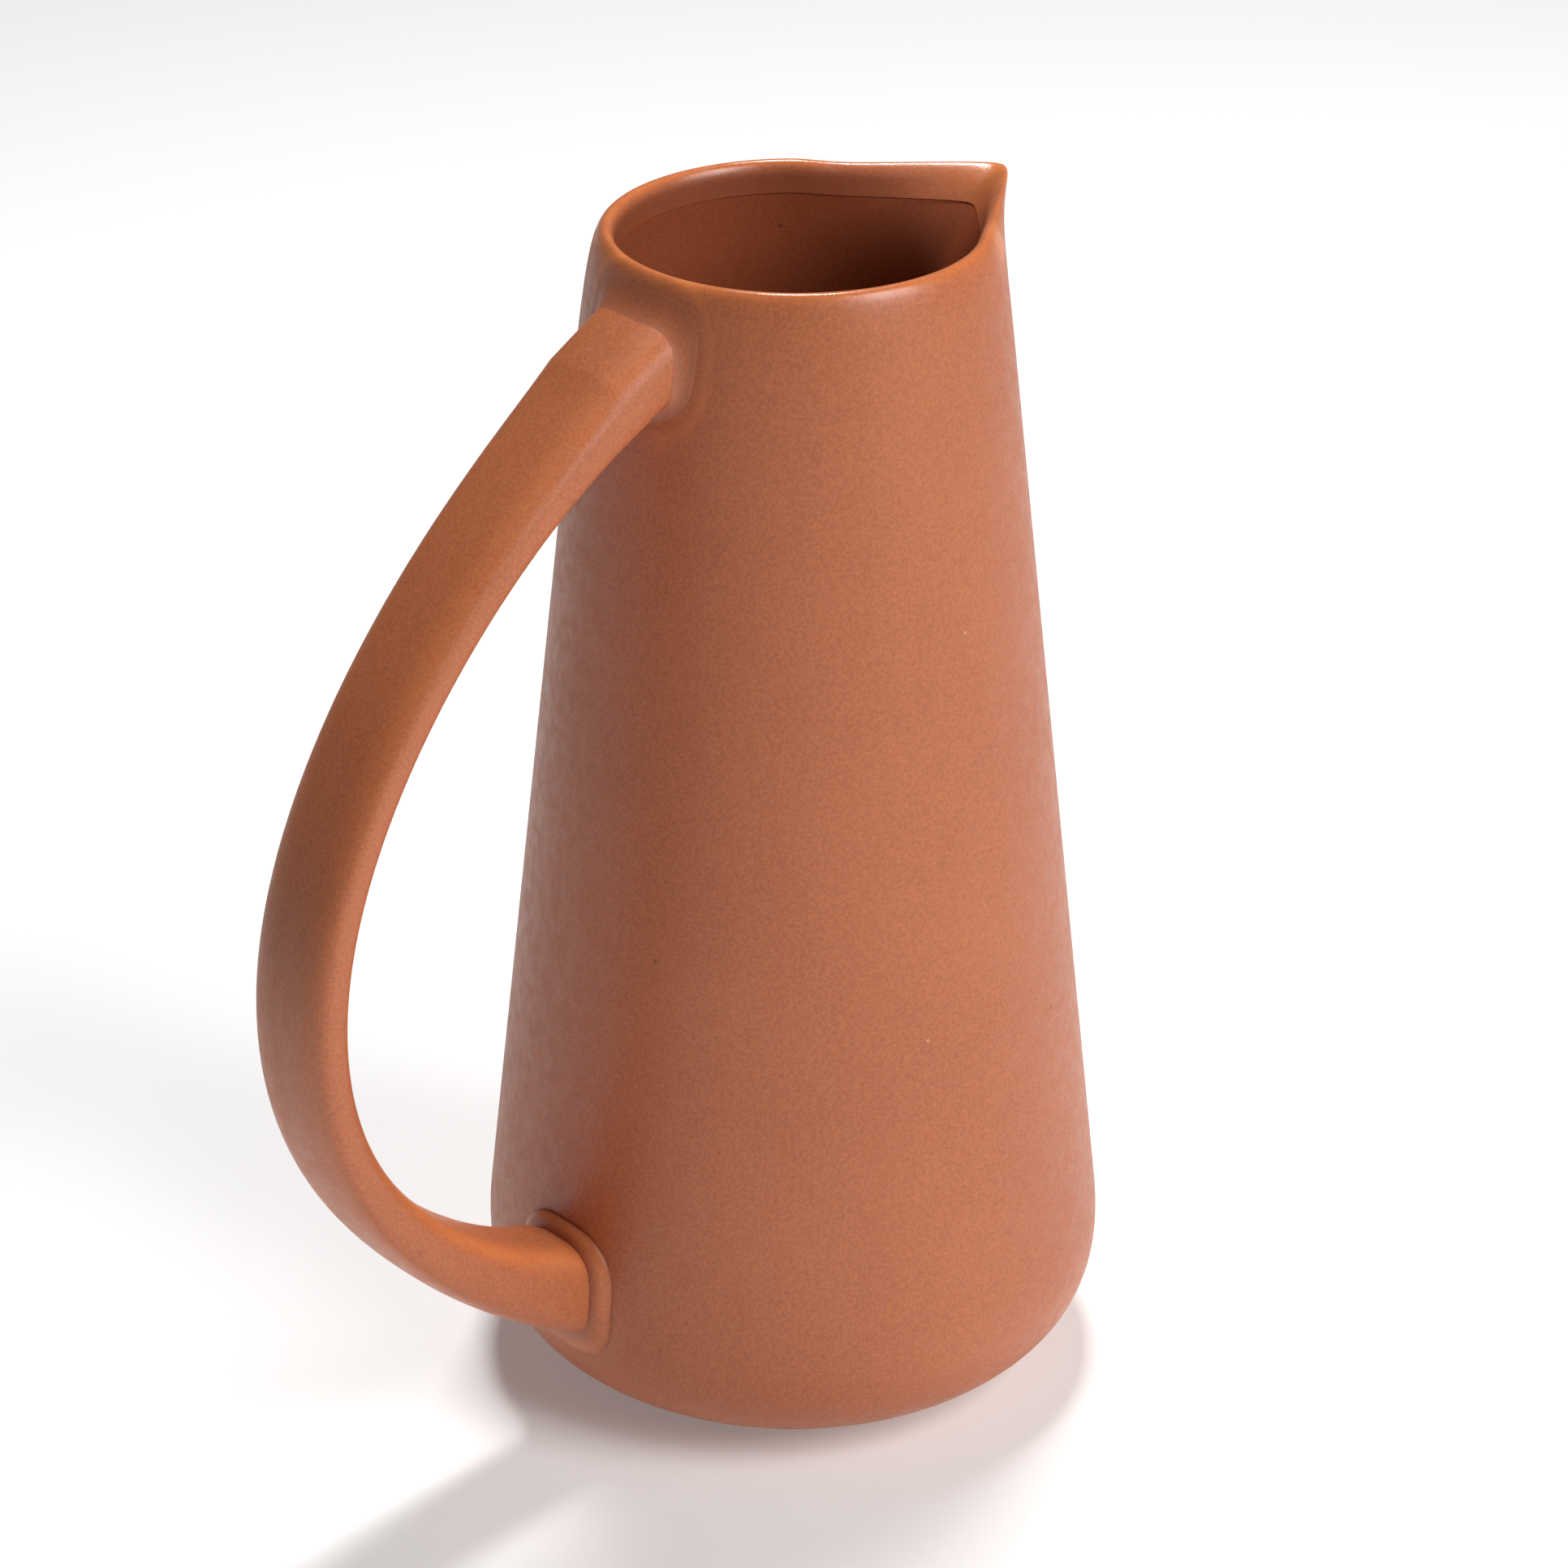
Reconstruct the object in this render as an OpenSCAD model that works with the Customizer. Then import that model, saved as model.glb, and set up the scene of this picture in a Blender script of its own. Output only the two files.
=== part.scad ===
// Stoneware pitcher: a tapered body with a pinched pouring lip, a strap handle luted on with slip,
// a bare foot ring and a poured liner glaze. Millimetres. The origin is the middle of the foot ring on
// the table, +Z up, the lip points to +X and the handle to -X.

/* [Body] */
// Height from the table to the crown of the rim
height = 250; // [235:1:270]
// Radius that the straight wall would have at table level
wall_base_r = 67.9; // [64:0.1:72]
// Radius that the straight wall would have at rim level
wall_rim_r = 40.1; // [39:0.1:43]
// Thickness of the clay wall, measured along the radius
wall_t = 5; // [4.5:0.1:5.5]
// Thickness of the clay floor
floor_t = 6; // [5:0.5:8]
// Height of the round base edge, where the wall becomes straight
base_edge_h = 37; // [32:0.5:42]
// Radius of the flat underside, where the base edge starts
underside_r = 45; // [44.5:0.5:48]
// Angle at which the base edge leaves the underside
underside_angle = 26.5; // [20:0.5:35]
// Fullness of the base edge: 0 is a straight chamfer, 1 a sharp corner
base_fullness = 0.76; // [0.5:0.01:0.9]

/* [Rim] */
// Distance over which the wall rounds into the crown of the rim
shoulder_h = 30; // [20:0.5:34]
// How far the crown lies inside the straight wall's line
shoulder_in = 3.1; // [2:0.1:4]
// Fullness of the shoulder
shoulder_fullness = 0.76; // [0.6:0.01:0.85]
// Radius of the upright band inside the rim
band_r = 35.2; // [34.8:0.1:35.3]
// Depth of that band below the crown
band_h = 6.5; // [5:0.5:9]
// Height of the round between the band and the crown
rim_round_h = 3; // [2:0.1:4]

/* [Pouring lip] */
// Distance from the body's axis to the point where the lip's straight flanks would meet
lip_reach = 58.2; // [52:0.1:60]
// Height over which the lip flares out of the wall
lip_h = 31.8; // [28:0.1:36]
// Half angle over which the tip is rounded, in degrees
lip_round = 2.7; // [2:0.1:6]
// How far the crown drops along the lip
lip_drop = 1; // [0:0.1:1.5]
// How far the lip's outside swells just under the crown
lip_swell = 0.5; // [0:0.1:1.5]

/* [Handle] */
// Distance from the body's axis to the middle of the strap where it stands out most
grip_reach = 125.9; // [118:0.1:132]
// Height of that place
grip_z = 118; // [112:0.5:124]
// Height at which the strap's centre line meets the wall above
top_z = 234.2; // [230:0.1:236]
// Height at which the strap's centre line meets the wall below
bottom_z = 35.6; // [34:0.1:42]
// Slope of the strap at the upper joint, in degrees below horizontal
top_slope = 25; // [20:0.1:32]
// Slope of the strap at the lower joint, in degrees below horizontal
bottom_slope = 27.8; // [20:0.1:34]
// Width of the strap at the upper joint
top_w = 25.8; // [22:0.1:28]
// Width of the strap at the grip
grip_w = 22.7; // [20:0.1:26]
// Width of the strap at the lower joint
bottom_w = 20.6; // [18:0.1:24]
// Thickness of the strap at the upper joint
top_t = 15; // [12:0.5:17]
// Thickness of the strap at the grip
grip_t = 9.6; // [8:0.1:12]
// Thickness of the strap at the lower joint
bottom_t = 18; // [14:0.5:19]

/* [Joints, foot and glaze] */
// Thickness of the slip between the strap's end and the wall
slip_t = 0.6; // [0.4:0.1:1]
// How far the upper joint's fillet spreads over the wall
upper_spread = 2.6; // [2:0.1:4]
// How far the upper joint's fillet climbs the strap
upper_climb = 3; // [2:0.1:4]
// How far the lower joint's rolled collar spreads over the wall
lower_spread = 3.6; // [2:0.1:4]
// How far the lower joint's rolled collar climbs the strap
lower_climb = 2.6; // [2:0.1:4]
// Height of the foot ring
foot_h = 2.5; // [1.5:0.5:4]
// Outer radius of the foot ring
foot_outer_r = 43; // [40:0.5:44]
// Inner radius of the foot ring
foot_inner_r = 36; // [30:0.5:38]
// Thickness of the liner glaze
liner_t = 0.7; // [0.5:0.1:0.7]

/* [Hidden] */

glazed_clay = [0.70, 0.40, 0.29];
bare_clay = [0.78, 0.63, 0.50];
liner_glaze = [0.42, 0.20, 0.12];

seam = 0.02;                  // clearance between two surfaces that meet all over
ledge = 0.03;                 // how far a faceted ring stays inside the true circle it sits on
curve_steps = 14;             // points along each round stretch of an outline
neck_z = height - lip_h - 4;  // below this height every section of the body is a true circle
ridge_z = height - band_h;    // the band inside the rim ends here
liner_gap = 0.1;              // clearance between the liner's upper edge and the band
liner_edge_t = 0.3;           // thickness of the liner at its upper edge, where it has thinned
floor_fullness = 0.7;         // fullness of the round edge of the floor inside
crown_r = wall_rim_r - shoulder_in;
taper = (wall_rim_r - wall_base_r) / height;

section_points = 28;          // points round the strap's section
section_power = 3;            // 2 is an ellipse, higher is squarer
strap_rings = 52;             // sections along the strap
straight_share = 0.1;         // share of each half of the strap that runs straight to the wall
upper_roll = 0.15;            // shape of a joint's edge: 0 is a hollow fillet, 1 a round roll
lower_roll = 0.9;
roll_share = 0.55;            // share of a quarter round's size that shapes it as a curve
joint_steps = 8;              // rings in a joint's edge
cap_shares = [0.03, 0.5, 1];  // sizes of the rings that close an end

// ---- outlines: points are [radius, height] ----
function cross2(a, b) = a[0] * b[1] - a[1] * b[0];
function unit(v) = v / norm(v);
function reverse(list) = [for (i = [len(list) - 1:-1:0]) list[i]];
function bezier(p, t) = pow(1 - t, 3) * p[0] + 3 * pow(1 - t, 2) * t * p[1]
    + 3 * (1 - t) * t * t * p[2] + pow(t, 3) * p[3];
function bezier_slope(p, t) = 3 * pow(1 - t, 2) * (p[1] - p[0]) + 6 * (1 - t) * t * (p[2] - p[1])
    + 3 * t * t * (p[3] - p[2]);

// A round stretch that leaves p0 along d0 and reaches p1 along d1
function rounded(p0, d0, p1, d1, fullness) =
    let (a = cross2(p1 - p0, d1) / cross2(d0, d1),
         b = cross2(d0, p1 - p0) / cross2(d0, d1),
         p = [p0, p0 + fullness * a * d0, p1 - fullness * b * d1, p1])
    [for (i = [0:curve_steps]) bezier(p, i / curve_steps)];

function wall_line(z) = wall_base_r + taper * z;
base_edge = rounded([underside_r, foot_h], [cos(underside_angle), sin(underside_angle)],
    [wall_line(base_edge_h), base_edge_h], [taper, 1], base_fullness);
shoulder = rounded([wall_line(height - shoulder_h), height - shoulder_h], [taper, 1],
    [crown_r, height], [-1, 0], shoulder_fullness);
radius_by_height = [for (p = concat(base_edge, shoulder)) [p[1], p[0]]];
function wall_r(z) = lookup(z, radius_by_height);

// The inside, pushed in from the clay's surface by push: wall, then floor with its round edge
function inside_r(z, push) = wall_line(z) - wall_t - push;
function inside_low(push) =
    let (floor_z = foot_h + floor_t + push, edge_z = base_edge_h + push)
    concat([[0, floor_z]], rounded([underside_r - wall_t, floor_z], [1, 0],
        [inside_r(edge_z, push), edge_z], [taper, 1], floor_fullness));

// ---- the pouring lip in plan ----
flank_angle = acos(crown_r / lip_reach);  // where the lip's straight flanks leave the circle
flare_power = 2;                          // how late the lip flares out: 1 is straight
drop_reach = 0.8;                         // the crown has dropped where it stands this far out
fan = 60;                                 // the lip lies within this angle on each side of +X
fan_steps = 48;
back_steps = 48;
swell_h = 16;                             // the swelling runs from the crown down over this height
full_swell_out = 15;                      // it is full where the crown stands this far out
tip_share = 0.45;                         // spacing of the sections at the tip, as a share of the mean
angles = concat([for (i = [0:fan_steps - 1]) let (u = 2 * i / fan_steps - 1)
        fan * (tip_share * u + (1 - tip_share) * u * u * u)],
    [for (i = [0:back_steps - 1]) fan + i * (360 - 2 * fan) / back_steps]);
corner = 1 / cos((180 - fan) / back_steps);  // puts a facet's middle, not its ends, on a circle

// How far the crown stands out at angle a: straight flanks that meet in a rounded tip
function lip_out(a) =
    let (from_tip = a > 180 ? 360 - a : abs(a), soft = sqrt(from_tip * from_tip + lip_round * lip_round))
    soft < flank_angle ? crown_r / cos(flank_angle - soft) - crown_r : 0;
function flare(z) = pow(min(1, max(0, (z - height + lip_h) / lip_h)), flare_power);
function level(p, swell = 0) =
    let (up = min(1, max(0, (p[1] - height + swell_h) / swell_h)), belly = swell * pow(sin(180 * up), 2))
    [for (a = angles)
    let (out = lip_out(a), f = flare(p[1]), r = p[0] + out * f + belly * out / full_swell_out)
    [r * cos(a), r * sin(a), p[1] - lip_drop * (1 - exp(-out / drop_reach)) * f]];

// Heights of the sections inside the lip, which the clay and the liner share
lip_levels = [for (t = [0:0.2:1]) height - lip_h + t * (ridge_z - liner_gap - height + lip_h)];
function thinned(z) = liner_t + (liner_edge_t - liner_t) * min(1, max(0, (z - height + lip_h) / lip_h));

// ---- solids from rings of points, anticlockwise about the way they are stacked ----
function joined(rings) = [for (ring = rings) each ring];
function sides(rings, n, count) = [for (i = [0:count - 1], j = [0:n - 1])
    let (a = i * n, b = ((i + 1) % rings) * n, k = (j + 1) % n)
    each [[a + j, b + j, b + k], [a + j, b + k, a + k]]];

// Rings whose last meets the first again, so the solid has a hole through it
module ring_loop(rings) {
    polyhedron(joined(rings), sides(len(rings), len(rings[0]), len(rings)), convexity = 8);
}

// Rings from one end to another, each end closed by a flat face
module ring_stack(rings) {
    n = len(rings[0]);
    last = (len(rings) - 1) * n;
    ends = [[for (j = [0:n - 1]) j], [for (j = [n - 1:-1:0]) last + j]];
    polyhedron(joined(rings), concat(sides(len(rings), n, len(rings) - 1), ends), convexity = 8);
}

// ---- body, foot ring and liner glaze ----
module body() {
    outside = concat([[wall_line(neck_z) - ledge, neck_z]], shoulder);
    rim_round = [for (t = [15:15:90])
        [crown_r - (crown_r - band_r) * sin(t), height - rim_round_h * (1 - cos(t))]];
    inside = concat([for (z = lip_levels) [inside_r(z, 0), z]], [[band_r, ridge_z]]);
    neck_inside = [(inside_r(neck_z, 0) + 2 * ledge) * corner, neck_z];
    color(glazed_clay) {
        rotate_extrude($fn = 120)
            polygon(concat([[0, foot_h]], base_edge, [[wall_line(neck_z), neck_z]],
                [[inside_r(neck_z, 0), neck_z]], reverse(inside_low(0))));
        ring_loop(concat([for (p = outside) level(p, lip_swell)],
            [for (p = concat(rim_round, reverse(inside), [neck_inside])) level(p)]));
    }
}

module foot_ring() {
    bevel = 0.8;
    color(bare_clay) rotate_extrude($fn = 120)
        polygon([[foot_inner_r + bevel, 0], [foot_outer_r - bevel, 0], [foot_outer_r, bevel],
            [foot_outer_r, foot_h], [foot_inner_r, foot_h], [foot_inner_r, bevel]]);
}

module inner_glaze() {
    skin = concat([[inside_r(neck_z, seam) - ledge, neck_z]], [for (z = lip_levels) [inside_r(z, seam), z]]);
    face = concat([[(inside_r(neck_z, liner_t) + ledge) * corner, neck_z]],
        [for (z = lip_levels) [inside_r(z, thinned(z)), z]]);
    color(liner_glaze) {
        rotate_extrude($fn = 120)
            polygon(concat(inside_low(seam), [[inside_r(neck_z, seam), neck_z]],
                [[inside_r(neck_z, liner_t), neck_z]], reverse(inside_low(liner_t))));
        ring_loop([for (p = concat(skin, reverse(face))) level(p)]);
    }
}

// ---- strap: s runs from 0 at the upper joint through 1 at the grip to 2 at the lower joint ----
top_inset = 3;                // the centre line starts this deep in the wall's curve
upper_pull = 41.8;            // these pulls set how round each quarter of the strap is
lower_pull = 35.2;
grip_pulls = [49.7, 40.8];
first_s = straight_share;
last_s = 2 - straight_share;

top_end = [wall_r(top_z) - top_inset, top_z];
bottom_end = [wall_r(bottom_z), bottom_z];
grip = [grip_reach, grip_z];
upper_half = [top_end, top_end + upper_pull * [cos(top_slope), -sin(top_slope)],
    grip + [0, grip_pulls[0]], grip];
lower_half = [grip, grip - [0, grip_pulls[1]],
    bottom_end + lower_pull * [cos(bottom_slope), sin(bottom_slope)], bottom_end];
function centre(s) = s < 1 ? bezier(upper_half, s) : bezier(lower_half, s - 1);
function along(s) = unit(s < 1 ? bezier_slope(upper_half, s) : bezier_slope(lower_half, s - 1));

// Size of the section at s: it grows from the grip to each end, at a rate of its own
width_powers = [4.5, 2];
thickness_powers = [5, 1.9];
root_swell = [1.6, 2];        // the strap's upper side stands this much higher at its two ends
root_power = 14;              // how close to the ends that swelling stays
function swell(top, middle, bottom, powers, s) =
    middle + ((s < 1 ? top : bottom) - middle) * pow(abs(s - 1), powers[s < 1 ? 0 : 1]);

// The strap's section at s, grown all round by grow and then shrunk to a share of its size
function squared(v) = sign(v) * pow(abs(v), 2 / section_power);
function section(s, grow = 0, share = 1) =
    let (c = centre(s), d = along(s),
         w = share * (swell(top_w, grip_w, bottom_w, width_powers, s) / 2 + grow),
         t = share * (swell(top_t, grip_t, bottom_t, thickness_powers, s) / 2 + grow),
         upward = s < 1 ? 1 : -1,
         root = share * root_swell[s < 1 ? 0 : 1] * pow(abs(s - 1) / (1 - straight_share), root_power))
    [for (i = [0:section_points - 1])
        let (a = -360 * i / section_points, across = w * squared(cos(a)),
             out = (t + (upward * sin(a) > 0 ? root : 0)) * squared(sin(a)))
        [-c[0] + out * d[1], across, c[1] + out * d[0]]];

// The way the strap leaves the wall, and the section's points slid back along it to the wall
function leaving(s) = let (d = along(s)) s < 1 ? [-d[0], 0, d[1]] : [d[0], 0, -d[1]];
function slide(p, way, gap, tries = 10) = tries == 0 ? p :
    slide(p + way * (norm([p[0], p[1]]) - wall_r(p[2]) - gap) / way[0], way, gap, tries - 1);
function on_wall(s, gap, grow = 0, share = 1) =
    [for (p = section(s, grow, share)) slide(p, leaving(s), gap)];

module handle() {
    color(glazed_clay) ring_stack(concat(
        [for (share = cap_shares) on_wall(first_s, slip_t, 0, share)],
        [for (i = [0:strap_rings]) section(first_s + (last_s - first_s) * i / strap_rings)],
        [for (share = reverse(cap_shares)) on_wall(last_s, slip_t, 0, share)]));
}

// ---- slip joints: a layer of slip under the strap's end, with a fillet or a rolled collar round it ----
module slip_joint(s, spread, climb, roll) {
    way = leaving(s);
    on_body = on_wall(s, seam, spread);
    root = on_wall(s, seam, seam);
    on_strap = [for (p = root) p + climb * way];
    path = [on_body, [for (p = on_body) p + roll_share * roll * climb * way],
        [for (i = [0:section_points - 1]) root[i] + roll * climb * way
            + roll_share * roll * (on_body[i] - root[i])], on_strap];
    rings = concat([for (share = cap_shares) if (share < 1) on_wall(s, seam, spread, share)],
        [for (i = [0:joint_steps]) bezier(path, i / joint_steps)],
        [for (share = reverse(cap_shares)) on_wall(s, slip_t - seam, seam, share)]);
    ring_stack(s < 1 ? rings : [for (ring = rings) reverse(ring)]);
}

module upper_joint() { color(glazed_clay) slip_joint(first_s, upper_spread, upper_climb, upper_roll); }
module lower_joint() { color(glazed_clay) slip_joint(last_s, lower_spread, lower_climb, lower_roll); }

body();
foot_ring();
inner_glaze();
handle();
upper_joint();
lower_joint();
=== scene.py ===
"""A stoneware pitcher in a satin terracotta glaze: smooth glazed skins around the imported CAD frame.

Lengths in the shape functions are millimetres, as in the CAD source; meshes are made in metres.
"""

import math

import bpy
import numpy as np
from mathutils import Matrix, Vector


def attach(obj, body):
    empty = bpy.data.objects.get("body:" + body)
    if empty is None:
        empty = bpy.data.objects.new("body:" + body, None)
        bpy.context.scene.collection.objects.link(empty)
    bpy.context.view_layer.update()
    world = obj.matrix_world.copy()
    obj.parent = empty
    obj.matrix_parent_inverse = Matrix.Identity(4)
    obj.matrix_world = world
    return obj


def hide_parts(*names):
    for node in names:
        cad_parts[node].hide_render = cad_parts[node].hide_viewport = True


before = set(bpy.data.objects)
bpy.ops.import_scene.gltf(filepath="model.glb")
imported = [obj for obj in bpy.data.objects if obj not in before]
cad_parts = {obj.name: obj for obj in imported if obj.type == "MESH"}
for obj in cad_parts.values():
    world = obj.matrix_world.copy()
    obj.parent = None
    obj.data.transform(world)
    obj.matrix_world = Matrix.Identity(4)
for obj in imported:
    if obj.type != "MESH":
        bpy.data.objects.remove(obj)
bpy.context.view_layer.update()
MM = 0.001

# ---- sizes, as in the CAD source (mm) ----
HEIGHT = 250.0
WALL_BASE_R, WALL_RIM_R, WALL_T = 67.9, 40.1, 5.0
TAPER = (WALL_RIM_R - WALL_BASE_R) / HEIGHT
FLOOR_T, FOOT_H, FOOT_OUT, FOOT_IN = 6.0, 2.5, 43.0, 36.0
BASE_EDGE_H, UNDERSIDE_R, UNDERSIDE_ANGLE, BASE_FULL = 37.0, 45.0, 26.5, 0.76
FLOOR_FULL = 0.7
SHOULDER_H, SHOULDER_IN, SHOULDER_FULL = 30.0, 3.1, 0.76
CROWN_R = WALL_RIM_R - SHOULDER_IN
BAND_R, BAND_H, RIM_ROUND_H = 35.2, 6.5, 3.0
RIDGE_Z = HEIGHT - BAND_H
LINER_T, LINER_EDGE_T, LINER_GAP = 0.7, 0.3, 0.1
LIP_REACH, LIP_H, LIP_ROUND, LIP_DROP = 58.2, 31.8, 2.7, 1.0
FLARE_POWER, DROP_REACH = 2.0, 0.8
LIP_SWELL, SWELL_H, FULL_SWELL_OUT = 0.5, 16.0, 15.0
FLANK = math.degrees(math.acos(CROWN_R / LIP_REACH))
SEAM = 0.02
HALO_OUT = 2.2
SLIP_T, ROLL_SHARE = 0.6, 0.55
UPPER_SPREAD, UPPER_CLIMB, UPPER_ROLL = 2.6, 3.0, 0.15
LOWER_SPREAD, LOWER_CLIMB, LOWER_ROLL = 3.6, 2.6, 0.9
SECTION_POWER = 3.0
GRIP_REACH, GRIP_Z = 125.9, 118.0
TOP_Z, TOP_INSET, BOTTOM_Z = 234.2, 3.0, 35.6
TOP_SLOPE, BOTTOM_SLOPE = math.radians(25.0), math.radians(27.8)
UPPER_PULL, LOWER_PULL, GRIP_PULLS = 41.8, 35.2, (49.7, 40.8)
WIDTHS, WIDTH_POWERS = (25.8, 22.7, 20.6), (4.5, 2)
THICKNESSES, THICKNESS_POWERS = (15.0, 9.6, 18.0), (5, 1.9)
ROOT_SWELL, ROOT_POWER = (1.6, 2.0), 14


# ---- outlines: points are (radius, height) ----
def unit(v):
    return v / np.linalg.norm(v)


def cross2(a, b):
    return a[0] * b[1] - a[1] * b[0]


def bezier(p, t):
    u = 1 - t
    return u**3 * p[0] + 3 * u * u * t * p[1] + 3 * u * t * t * p[2] + t**3 * p[3]


def bezier_slope(p, t):
    u = 1 - t
    return 3 * u * u * (p[1] - p[0]) + 6 * u * t * (p[2] - p[1]) + 3 * t * t * (p[3] - p[2])


def rounded(p0, d0, p1, d1, fullness, steps):
    """A round stretch that leaves p0 along d0 and reaches p1 along d1."""
    p0, d0, p1, d1 = (np.array(v, float) for v in (p0, d0, p1, d1))
    a = cross2(p1 - p0, d1) / cross2(d0, d1)
    b = cross2(d0, p1 - p0) / cross2(d0, d1)
    p = [p0, p0 + fullness * a * d0, p1 - fullness * b * d1, p1]
    return [tuple(bezier(p, i / steps)) for i in range(steps + 1)]


def wall_line(z):
    return WALL_BASE_R + TAPER * z


def inside_r(z, push):
    return wall_line(z) - WALL_T - push


def inside_low(push, steps=20):
    floor_z = FOOT_H + FLOOR_T + push
    edge_z = BASE_EDGE_H + push
    flat = [(r, floor_z) for r in (0.0, 12.0, 26.0)]
    return flat + rounded((UNDERSIDE_R - WALL_T, floor_z), (1, 0), (inside_r(edge_z, push), edge_z),
                          (TAPER, 1), FLOOR_FULL, steps)


angle = math.radians(UNDERSIDE_ANGLE)
BASE_EDGE = rounded((UNDERSIDE_R, FOOT_H), (math.cos(angle), math.sin(angle)),
                    (wall_line(BASE_EDGE_H), BASE_EDGE_H), (TAPER, 1), BASE_FULL, 32)
SHOULDER = rounded((wall_line(HEIGHT - SHOULDER_H), HEIGHT - SHOULDER_H), (TAPER, 1),
                   (CROWN_R, HEIGHT), (-1, 0), SHOULDER_FULL, 40)
RADII, HEIGHTS = zip(*(BASE_EDGE + SHOULDER))


def wall_r(z):
    return np.interp(z, HEIGHTS, RADII)


# ---- the lip in plan, in degrees from +X ----
def lip_out(a):
    soft = np.sqrt(a**2 + LIP_ROUND**2)
    return CROWN_R / np.cos(np.radians(np.clip(FLANK - soft, 0, 80))) - CROWN_R


def flare(z):
    return np.clip((z - HEIGHT + LIP_H) / LIP_H, 0, 1) ** FLARE_POWER


FAN, FAN_STEPS, BACK_STEPS, TIP_SHARE = 60.0, 160, 144, 0.45
spread = np.linspace(-1, 1, FAN_STEPS, endpoint=False)
ANGLES = np.concatenate([FAN * (TIP_SHARE * spread + (1 - TIP_SHARE) * spread**3),
                         np.linspace(FAN, 360 - FAN, BACK_STEPS, endpoint=False)])
ANGLES = np.where(ANGLES > 180, ANGLES - 360, ANGLES)
LIP_OUT = lip_out(ANGLES)


def level(p, swell=0.0):
    up = np.clip((p[1] - HEIGHT + SWELL_H) / SWELL_H, 0, 1)
    belly = swell * np.sin(np.pi * up) ** 2
    r = p[0] + LIP_OUT * (flare(p[1]) + belly / FULL_SWELL_OUT)
    z = p[1] - LIP_DROP * (1 - np.exp(-LIP_OUT / DROP_REACH)) * flare(p[1])
    a = np.radians(ANGLES)
    return np.stack([r * np.cos(a), r * np.sin(a), z], 1)


# ---- meshes from rings of points ----
def ring_mesh(name, rings, masks, loop=False, poles=(False, False)):
    """A closed solid through rings of points.

    masks holds an array for each name, with a value for every point of every ring. A pole is a ring whose
    points are all the same, and it becomes one vertex.
    """
    n = len(rings[0])
    verts, index, picked = [], [], []
    for i, ring in enumerate(rings):
        pole = (i == 0 and poles[0]) or (i == len(rings) - 1 and poles[1])
        ids = [len(verts)] * n if pole else list(range(len(verts), len(verts) + n))
        kept = [0] if pole else range(n)
        verts += [tuple(float(c) * MM for c in ring[j]) for j in kept]
        picked += [i * n + j for j in kept]
        index.append(ids)
    faces = []
    for i in range(len(rings) if loop else len(rings) - 1):
        a, b = index[i], index[(i + 1) % len(rings)]
        for j in range(n):
            k = (j + 1) % n
            face = [a[j], a[k], b[k], b[j]]
            face = [v for m, v in enumerate(face) if v != face[m - 1]]
            if len(face) > 2:
                faces.append(face)
    if not loop and not poles[0]:
        faces.append(list(reversed(index[0])))
    if not loop and not poles[1]:
        faces.append(list(index[-1]))
    mesh = bpy.data.meshes.new(name)
    mesh.from_pydata(verts, [], faces)
    mesh.validate()
    for key, values in masks.items():
        layer = mesh.attributes.new(key, "FLOAT", "POINT")
        flat = np.asarray(values, np.float32).reshape(-1)[picked]
        layer.data.foreach_set("value", np.ascontiguousarray(flat))
    mesh.shade_smooth()
    mesh.set_sharp_from_angle(angle=math.radians(38))
    obj = bpy.data.objects.new(name, mesh)
    bpy.context.scene.collection.objects.link(obj)
    return obj


def bump_at(value, middle, width):
    return np.exp(-(((value - middle) / width) ** 2))


# ---- the strap's curve and section ----
GRIP = np.array([GRIP_REACH, GRIP_Z])
TOP_END = np.array([wall_r(TOP_Z) - TOP_INSET, TOP_Z])
BOTTOM_END = np.array([wall_r(BOTTOM_Z), BOTTOM_Z])
UPPER = [TOP_END, TOP_END + UPPER_PULL * np.array([math.cos(TOP_SLOPE), -math.sin(TOP_SLOPE)]),
         GRIP + [0, GRIP_PULLS[0]], GRIP]
LOWER = [GRIP, GRIP - [0, GRIP_PULLS[1]],
         BOTTOM_END + LOWER_PULL * np.array([math.cos(BOTTOM_SLOPE), math.sin(BOTTOM_SLOPE)]), BOTTOM_END]
FIRST_S, LAST_S = 0.1, 1.9
SECTION_POINTS, STRAP_RINGS = 80, 220
TURN = -2 * np.pi * np.arange(SECTION_POINTS) / SECTION_POINTS


def centre(s):
    return bezier(UPPER, s) if s < 1 else bezier(LOWER, s - 1)


def along(s):
    return unit(bezier_slope(UPPER, s) if s < 1 else bezier_slope(LOWER, s - 1))


def swell(sizes, powers, s):
    """Size of the strap's section at s. sizes are those at the top, the grip and the bottom."""
    end, power = (sizes[0], powers[0]) if s < 1 else (sizes[2], powers[1])
    return sizes[1] + (end - sizes[1]) * abs(s - 1) ** power


def squared(v):
    return np.sign(v) * np.abs(v) ** (2 / SECTION_POWER)


def section(s, grow=0.0, share=1.0):
    c, d = centre(s), along(s)
    w = share * (swell(WIDTHS, WIDTH_POWERS, s) / 2 + grow)
    t = share * (swell(THICKNESSES, THICKNESS_POWERS, s) / 2 + grow)
    upward, swelling = (1, ROOT_SWELL[0]) if s < 1 else (-1, ROOT_SWELL[1])
    root = share * swelling * (abs(s - 1) / (1 - FIRST_S)) ** ROOT_POWER
    across = w * squared(np.cos(TURN))
    out = (t + np.where(upward * np.sin(TURN) > 1e-9, root, 0.0)) * squared(np.sin(TURN))
    return np.stack([-c[0] + out * d[1], across, c[1] + out * d[0]], 1)


def leaving(s):
    d = along(s)
    return np.array([-d[0], 0, d[1]]) if s < 1 else np.array([d[0], 0, -d[1]])


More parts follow.
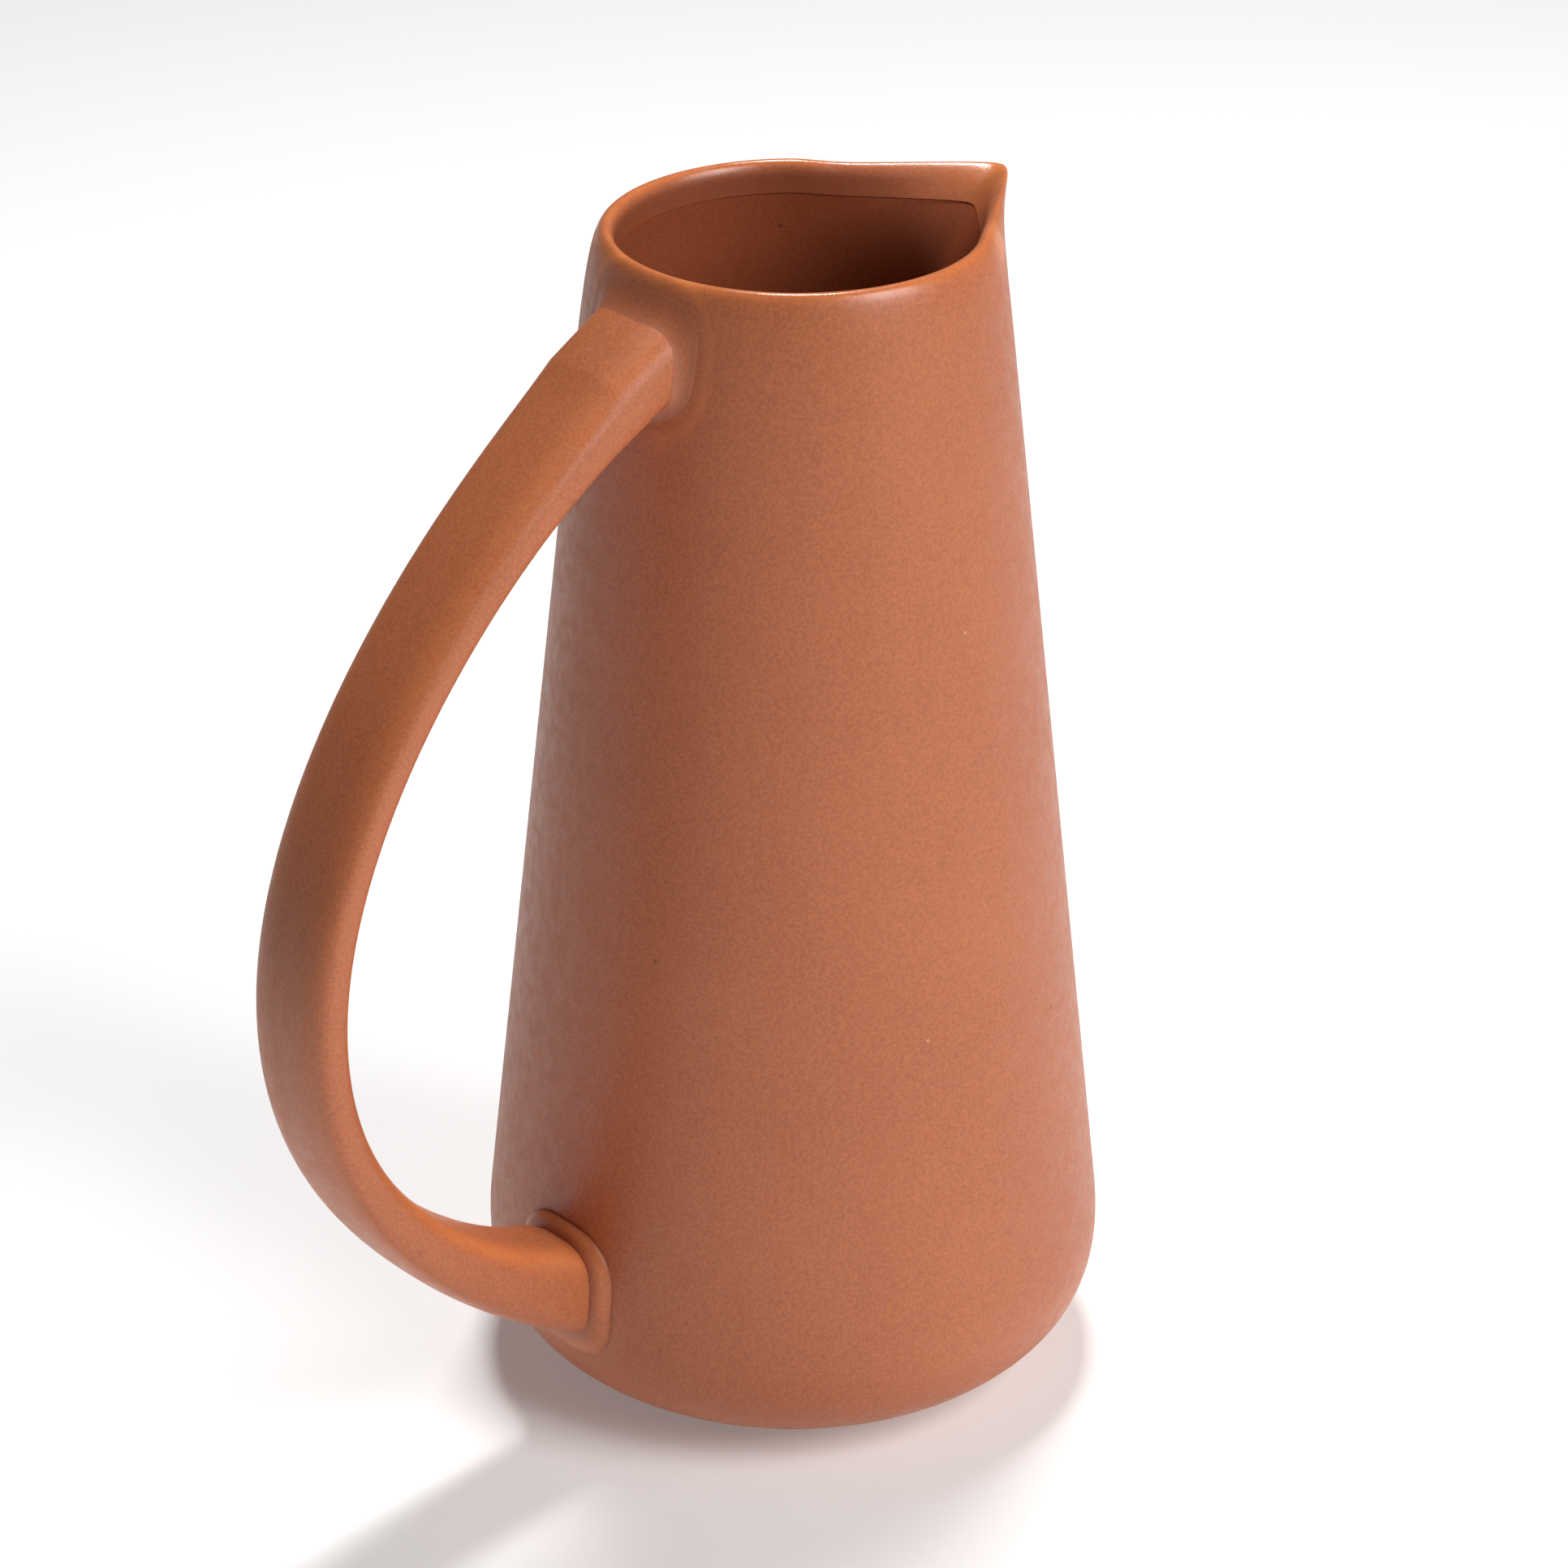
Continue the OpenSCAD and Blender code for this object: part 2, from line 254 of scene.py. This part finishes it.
def on_wall(s, gap, grow=0.0, share=1.0):
    points, way = section(s, grow, share), leaving(s)
    for _ in range(12):
        off = np.hypot(points[:, 0], points[:, 1]) - wall_r(points[:, 2]) - gap
        points = points + off[:, None] * way / way[0]
    return points


# ---- body ----
LIP_LEVELS = [HEIGHT - LIP_H + t * (RIDGE_Z - LINER_GAP - HEIGHT + LIP_H) for t in np.linspace(0, 1, 19)]
underside = [(r, FOOT_H) for r in (0.0, 14.0, 28.0, 36.0, 43.0)]
wall = [(wall_line(z), z) for z in np.linspace(BASE_EDGE_H, HEIGHT - SHOULDER_H, 50)[1:-1]]
rim_round = [(CROWN_R - (CROWN_R - BAND_R) * math.sin(t), HEIGHT - RIM_ROUND_H * (1 - math.cos(t)))
             for t in np.linspace(0, math.pi / 2, 15)[1:]]
band = [(BAND_R, z) for z in np.linspace(HEIGHT - RIM_ROUND_H, RIDGE_Z, 6)[1:]]
clay_inside = [(inside_r(z, 0), z) for z in reversed(LIP_LEVELS)]
OUTSIDE = underside + BASE_EDGE + wall + SHOULDER
INSIDE = rim_round + band + clay_inside + list(reversed(inside_low(0)))
rings = [level(p, LIP_SWELL) for p in OUTSIDE] + [level(p) for p in INSIDE]

grid = np.array(rings)
z_of = grid[:, :, 2]
side = np.array([1.0] * len(OUTSIDE) + [0.0] * len(INSIDE))[:, None]
a_of = np.broadcast_to(np.abs(ANGLES), z_of.shape)
crown = bump_at(z_of, HEIGHT, 1.6)
tip = bump_at(a_of, 0, 9) * bump_at(z_of, HEIGHT, 7)
cheek = bump_at(a_of, FLANK - 6, 9) * bump_at(z_of, HEIGHT - 3.5, 3.5) * side
ridge = bump_at(z_of, RIDGE_Z + 0.3, 0.7) * (1 - side) * (1 - bump_at(a_of, 0, 60))
joint = on_wall(FIRST_S, 0.0, UPPER_SPREAD + HALO_OUT)
joint_z = (joint[:, 2].max() + joint[:, 2].min()) / 2
joint_h, joint_w = np.ptp(joint[:, 2]) / 2, np.ptp(joint[:, 1]) / 2
around = (np.abs(grid[:, :, 1] / joint_w) ** SECTION_POWER
          + np.abs((z_of - joint_z) / joint_h) ** SECTION_POWER) ** (1 / SECTION_POWER)
halo = bump_at(around, 1.0, 0.05) * (grid[:, :, 0] < 0) * side
thin = np.clip(0.30 * crown + 0.55 * tip + 0.95 * cheek + 0.8 * ridge + 0.4 * halo, 0, 1)
shaded = (1 - side) * (1 - bump_at(z_of, HEIGHT, 2.0)) * (1 - 0.7 * bump_at(a_of, 0, 30))
masks = {"thin": thin, "crease_shade": np.zeros_like(thin), "gloss": crown, "shaded": shaded}
body = ring_mesh("glazed_body", rings, masks, poles=(True, True))

# ---- liner glaze ----
def thinned(z):
    """The liner's thickness, which falls towards its upper edge."""
    return LINER_T + (LINER_EDGE_T - LINER_T) * min(1.0, max(0.0, (z - HEIGHT + LIP_H) / LIP_H))


skin = inside_low(SEAM) + [(inside_r(z, SEAM), z) for z in LIP_LEVELS]
lip_edge = [(inside_r(LIP_LEVELS[-1], LINER_EDGE_T * 0.5), LIP_LEVELS[-1] + 0.05)]
face = [(inside_r(z, thinned(z)), z) for z in reversed(LIP_LEVELS)] + list(reversed(inside_low(LINER_T)))
profile = skin + lip_edge + face
rings = [level(p) for p in profile]
liner = ring_mesh("poured_liner", rings, {"thin": np.zeros((len(rings), len(ANGLES))),
                                          "crease_shade": np.zeros((len(rings), len(ANGLES)))}, poles=(True, True))

# ---- foot ring ----
FOOT_BEVEL, FOOT_POINTS = 0.8, 240


def foot_corner(r, z, turn, start):
    return [(r + FOOT_BEVEL * math.cos(start + turn * t), z + FOOT_BEVEL * math.sin(start + turn * t))
            for t in np.linspace(0, math.pi / 2, 7)]


profile = ([(FOOT_IN, FOOT_H), (FOOT_IN, FOOT_BEVEL + 0.4)]
           + foot_corner(FOOT_IN + FOOT_BEVEL, FOOT_BEVEL, 1, math.pi)
           + [(39.5, 0.0)]
           + foot_corner(FOOT_OUT - FOOT_BEVEL, FOOT_BEVEL, 1, -math.pi / 2)
           + [(FOOT_OUT, FOOT_BEVEL + 0.4), (FOOT_OUT, FOOT_H), (39.5, FOOT_H)])
turns = np.linspace(0, 2 * math.pi, FOOT_POINTS, endpoint=False)
rings = [np.stack([r * np.cos(turns), r * np.sin(turns), np.full(FOOT_POINTS, z)], 1) for r, z in profile]
foot = ring_mesh("bare_foot", rings, {}, loop=True)

# ---- strap ----
CAP_SHARES = (0.0, 0.3, 0.6, 0.85, 1.0)
run = np.linspace(FIRST_S, LAST_S, STRAP_RINGS)
rings = ([on_wall(FIRST_S, SLIP_T, 0, share) for share in CAP_SHARES]
         + [section(s) for s in run]
         + [on_wall(LAST_S, SLIP_T, 0, share) for share in reversed(CAP_SHARES)])
s_of = np.array([FIRST_S] * len(CAP_SHARES) + list(run) + [LAST_S] * len(CAP_SHARES))[:, None]
edge_in = np.clip(-np.sin(TURN), 0, 1)[None, :] * np.abs(np.sin(2 * TURN))[None, :] ** 3
edge_out = np.clip(np.sin(TURN), 0, 1)[None, :] * np.abs(np.sin(2 * TURN))[None, :] ** 3
thin = 0.8 * edge_in * np.ones_like(s_of) + 0.25 * edge_out
crease_shade = np.zeros_like(thin)
handle = ring_mesh("glazed_handle", rings, {"thin": thin, "crease_shade": crease_shade}, poles=(True, True))


# ---- slip joints ----
EDGE_STEPS = 18


def slip_joint(name, s, spread, climb, roll, crest, shade_amount):
    """A layer of slip under the strap's end. Its edge is a fillet (roll 0) or a rolled collar (roll 1)."""
    on_body, root, way = on_wall(s, SEAM, spread), on_wall(s, SEAM, SEAM), leaving(s)
    path = [on_body, on_body + ROLL_SHARE * roll * climb * way,
            root + roll * climb * way + ROLL_SHARE * roll * (on_body - root), root + climb * way]
    shares = np.linspace(0, 1, EDGE_STEPS + 1)
    edge = [bezier(path, t) for t in shares]
    under = [on_wall(s, SEAM, spread, share) for share in (0.0, 0.3, 0.6, 0.85)]
    inner = [on_wall(s, SLIP_T - SEAM, SEAM, share) for share in reversed(CAP_SHARES)]
    rings = under + edge + inner
    thin, crease_shade = np.zeros((len(rings), SECTION_POINTS)), np.zeros((len(rings), SECTION_POINTS))
    outer = slice(len(under), len(under) + len(edge))
    thin[outer] = (crest * bump_at(shares, 0.5, 0.22))[:, None]
    # Painted shade: the creases, and most of a flat fillet, are darkened in colour where shade falls.
    creases = bump_at(shares, 0.0, 0.14) + bump_at(shares, 1.0, 0.12)
    crease_shade[outer] = (shade_amount * (creases + 1 - roll))[:, None]
    if s > 1:
        rings = [ring[::-1] for ring in rings]
        crease_shade, thin = crease_shade[:, ::-1], thin[:, ::-1]
    return ring_mesh(name, rings, {"thin": thin, "crease_shade": np.clip(crease_shade, 0, 1)}, poles=(True, True))


upper_slip = slip_joint("upper_slip", FIRST_S, UPPER_SPREAD, UPPER_CLIMB, UPPER_ROLL, 0.0, 0.9)
lower_slip = slip_joint("lower_slip", LAST_S, LOWER_SPREAD, LOWER_CLIMB, LOWER_ROLL, 0.5, 0.9)


# ---- materials ----
class Nodes:
    """A small helper that adds shader nodes and links to one material."""

    def __init__(self, name):
        self.material = bpy.data.materials.new(name)
        self.material.use_nodes = True
        self.tree = self.material.node_tree
        self.shader = self.tree.nodes["Principled BSDF"]
        self.place = self.add("ShaderNodeTexCoord").outputs["Object"]

    def add(self, kind, **settings):
        node = self.tree.nodes.new(kind)
        for key, value in settings.items():
            setattr(node, key, value)
        return node

    def set(self, socket, value):
        if isinstance(value, bpy.types.NodeSocket):
            self.tree.links.new(value, socket)
        else:
            socket.default_value = value

    def noise(self, scale, detail, rough):
        node = self.add("ShaderNodeTexNoise")
        self.set(node.inputs["Vector"], self.place)
        for key, value in (("Scale", scale), ("Detail", detail), ("Roughness", rough)):
            node.inputs[key].default_value = value
        return node.outputs["Fac"]

    def math(self, kind, a, b):
        node = self.add("ShaderNodeMath", operation=kind)
        for socket, value in zip(node.inputs, (a, b)):
            self.set(socket, value)
        return node.outputs[0]

    def span(self, value, low, high, to_low=0.0, to_high=1.0):
        node = self.add("ShaderNodeMapRange", interpolation_type="SMOOTHSTEP")
        self.set(node.inputs["Value"], value)
        for key, limit in (("From Min", low), ("From Max", high), ("To Min", to_low), ("To Max", to_high)):
            node.inputs[key].default_value = limit
        return node.outputs[0]

    def mix(self, amount, a, b):
        node = self.add("ShaderNodeMix", data_type="RGBA")
        self.set(node.inputs[0], amount)
        for socket, value in ((node.inputs[6], a), (node.inputs[7], b)):
            self.set(socket, (*value, 1.0) if isinstance(value, tuple) else value)
        return node.outputs[2]

    def mask(self, name):
        node = self.add("ShaderNodeAttribute", attribute_type="GEOMETRY", attribute_name=name)
        return node.outputs["Fac"]

    def specks(self, scale, low, high, share):
        """Small dots, one in some of the cells of a grid of random points."""
        cells = self.add("ShaderNodeTexVoronoi", feature="F1")
        self.set(cells.inputs["Vector"], self.place)
        cells.inputs["Scale"].default_value = scale
        dot = self.span(cells.outputs["Distance"], low, high, 1.0, 0.0)
        split = self.add("ShaderNodeSeparateColor")
        self.set(split.inputs[0], cells.outputs["Color"])
        picked = self.math("LESS_THAN", split.outputs[0], share)
        return self.math("MULTIPLY", dot, picked)

    def bump(self, height, distance, below=None):
        node = self.add("ShaderNodeBump")
        node.inputs["Strength"].default_value = 1.0
        node.inputs["Distance"].default_value = distance
        self.set(node.inputs["Height"], height)
        if below is not None:
            self.set(node.inputs["Normal"], below)
        return node.outputs["Normal"]


def glaze(name, clay, deep, warm, dull_and_shade, rough):
    """Satin glaze. clay is its usual colour, deep its clouds, warm where it is thin; the fourth colour is a
    duller tone, used at random and as painted shade in creases.
    """
    n = Nodes(name)
    cloud = n.span(n.noise(22, 3, 0.55), 0.35, 0.68)
    grain = n.noise(1500, 3, 0.62)
    fine = n.noise(3200, 1, 0.5)
    colour = n.mix(n.math("MULTIPLY", cloud, 0.45), clay, deep)
    colour = n.mix(n.span(grain, 0.30, 0.72, 0.0, 0.42), colour, warm)
    colour = n.mix(n.span(grain, 0.56, 0.28, 0.0, 0.30), colour, deep)
    colour = n.mix(n.span(fine, 0.35, 0.7, 0.0, 0.14), colour, dull_and_shade)
    thin = n.math("MULTIPLY", n.mask("thin"), n.span(n.noise(140, 3, 0.6), 0.2, 0.75, 0.45, 1.25))
    colour = n.mix(n.math("MINIMUM", thin, 1.0), colour, warm)
    # Painted shade: darker in the creases of the slip joints.
    colour = n.mix(n.math("MULTIPLY", n.mask("crease_shade"), 0.45), colour, dull_and_shade)
    colour = n.mix(n.math("MULTIPLY", n.mask("shaded"), 0.85), colour, SHADED)
    colour = n.mix(n.math("MULTIPLY", n.specks(95, 0.020, 0.055, 0.16), 0.6), colour, DARK_SPECK)
    colour = n.mix(n.math("MULTIPLY", n.specks(70, 0.012, 0.035, 0.08), 0.55), colour, PALE_SPECK)
    n.set(n.shader.inputs["Base Color"], colour)
    worn = n.span(n.noise(300, 2, 0.6), 0.3, 0.7, rough - 0.05, rough + 0.06)
    worn = n.math("SUBTRACT", worn, n.math("MULTIPLY", n.mask("thin"), 0.12))
    n.set(n.shader.inputs["Roughness"], n.math("SUBTRACT", worn, n.math("MULTIPLY", n.mask("gloss"), 0.24)))
    n.shader.inputs["IOR"].default_value = GLAZE_IOR
    swell = n.bump(n.noise(45, 2, 0.5), 0.00012)
    peel = n.bump(grain, 0.000035, swell)
    n.set(n.shader.inputs["Normal"], n.bump(n.specks(95, 0.02, 0.07, 0.16), -0.00005, peel))
    return n.material


def bare_clay(name):
    n = Nodes(name)
    grain = n.noise(1400, 4, 0.7)
    colour = n.mix(n.span(grain, 0.3, 0.7), (0.52, 0.33, 0.22), (0.70, 0.50, 0.36))
    colour = n.mix(n.span(n.noise(60, 3, 0.6), 0.45, 0.75, 0.0, 0.5), colour, (0.42, 0.25, 0.17))
    colour = n.mix(n.math("MULTIPLY", n.specks(420, 0.05, 0.14, 0.25), 0.5), colour, (0.16, 0.09, 0.06))
    n.set(n.shader.inputs["Base Color"], colour)
    n.set(n.shader.inputs["Roughness"], n.span(grain, 0.3, 0.7, 0.82, 0.95))
    n.set(n.shader.inputs["Normal"], n.bump(grain, 0.00008))
    return n.material


# The usual colour, the clouds, where it is thin, and a duller tone that is also painted shade in creases, of
# the outside glaze and of the liner
OUTER = (0.42, 0.118, 0.047), (0.35, 0.090, 0.034), (0.66, 0.200, 0.060), (0.27, 0.092, 0.050)
# The liner glaze is darker than the outside glaze, and its colours are darkened further as painted shade of
# the deep inside.
LINER = (0.30, 0.072, 0.029), (0.25, 0.056, 0.022), (0.40, 0.105, 0.036), (0.22, 0.06, 0.03)
SHADED, DARK_SPECK, PALE_SPECK = (0.27, 0.066, 0.027), (0.05, 0.022, 0.014), (0.72, 0.45, 0.32)
OUTER_ROUGH, LINER_ROUGH, GLAZE_IOR = 0.46, 0.38, 1.5
satin = glaze("satin_terracotta_glaze", *OUTER, OUTER_ROUGH)
satin_strap = glaze("satin_terracotta_strap", *OUTER, OUTER_ROUGH)
satin_joint = glaze("satin_terracotta_joint", *OUTER, OUTER_ROUGH)
inner = glaze("satin_terracotta_liner", *LINER, LINER_ROUGH)
clay = bare_clay("bare_fired_clay")

for piece, node, slot, material in (
        (body, "body", "satin_glaze", satin),
        (liner, "inner_glaze", "liner_glaze", inner),
        (foot, "foot_ring", "bare_clay", clay),
        (handle, "handle", "satin_glaze_handle", satin_strap),
        (upper_slip, "upper_joint", "satin_glaze_joints", satin_joint),
        (lower_slip, "lower_joint", "satin_glaze_joints", satin_joint)):
    piece.data.materials.append(material)
    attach(piece, "root")
    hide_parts(node)

# ---- camera ----
AZIMUTH, ELEVATION, ROLL = math.radians(42.0), math.radians(26.748), math.radians(0.124)
DISTANCE, LENS, SENSOR = 1.03125, 116.12, 36.0
target = Vector((-1.56, 1.41, 128.83)) * MM
flat_back = Vector((-math.sin(AZIMUTH), -math.cos(AZIMUTH), 0))
back = math.cos(ELEVATION) * flat_back + math.sin(ELEVATION) * Vector((0, 0, 1))
level_right = Vector((math.cos(AZIMUTH), -math.sin(AZIMUTH), 0))
level_up = back.cross(level_right)
right = math.cos(ROLL) * level_right + math.sin(ROLL) * level_up
up = back.cross(right)
camera = bpy.data.objects.new("camera", bpy.data.cameras.new("camera"))
camera.data.lens, camera.data.sensor_width, camera.data.sensor_fit = LENS, SENSOR, "HORIZONTAL"
camera.data.clip_start, camera.data.clip_end = 0.01, 50
axes = Matrix((right, up, back)).transposed().to_4x4()
axes.translation = target + DISTANCE * back
camera.matrix_world = axes
bpy.context.scene.collection.objects.link(camera)
bpy.context.scene.camera = camera


# ---- floor and light ----
def softbox(name, turn, rise, distance, size, power):
    """A rectangular lamp aimed at the pitcher, turned to the right of the camera and raised, in degrees."""
    turn, rise = math.radians(turn), math.radians(rise)
    flat = math.cos(turn) * flat_back + math.sin(turn) * level_right
    way = math.cos(rise) * flat + math.sin(rise) * Vector((0, 0, 1))
    data = bpy.data.lights.new(name, "AREA")
    data.shape, data.size, data.size_y, data.energy = "RECTANGLE", size[0], size[1], power
    lamp = bpy.data.objects.new(name, data)
    lamp.location = LAMP_AIM + distance * way
    lamp.rotation_euler = (-way).to_track_quat("-Z", "Y").to_euler()
    bpy.context.scene.collection.objects.link(lamp)


LAMP_AIM = Vector((0, 0, 0.12))
softbox("key", 56, 36, 1.8, (0.9, 1.1), 26.5)
softbox("top", 176, 74, 1.5, (0.34, 0.30), 20)

floor_mesh = bpy.data.meshes.new("floor")
FLOOR = 8.0
corners = [(-FLOOR, -FLOOR, 0), (FLOOR, -FLOOR, 0), (FLOOR, FLOOR, 0), (-FLOOR, FLOOR, 0)]
floor_mesh.from_pydata(corners, [], [(0, 1, 2, 3)])
floor = bpy.data.objects.new("floor", floor_mesh)
bpy.context.scene.collection.objects.link(floor)
paper = Nodes("pale_paper")
paper.shader.inputs["Base Color"].default_value = (0.90, 0.90, 0.90, 1)
paper.shader.inputs["Roughness"].default_value = 0.9
paper.shader.inputs["Emission Color"].default_value = (1, 1, 1, 1)
paper.shader.inputs["Emission Strength"].default_value = 0.16
floor_mesh.materials.append(paper.material)

world = bpy.data.worlds.new("studio")
world.use_nodes = True
sky = world.node_tree
split = sky.nodes.new("ShaderNodeSeparateXYZ")
sky.links.new(sky.nodes.new("ShaderNodeTexCoord").outputs["Generated"], split.inputs[0])
ramp = sky.nodes.new("ShaderNodeMapRange")
ramp.interpolation_type = "SMOOTHSTEP"
for key, value in (("From Min", 0.05), ("From Max", 0.35), ("To Min", 0.17), ("To Max", 0.04)):
    ramp.inputs[key].default_value = value
sky.links.new(split.outputs["Z"], ramp.inputs["Value"])
sky.links.new(ramp.outputs[0], sky.nodes["Background"].inputs["Strength"])
sky.nodes["Background"].inputs["Color"].default_value = (1, 1, 1, 1)
bpy.context.scene.world = world
bpy.context.scene.view_settings.view_transform = "Standard"
bpy.context.scene.view_settings.look = "None"
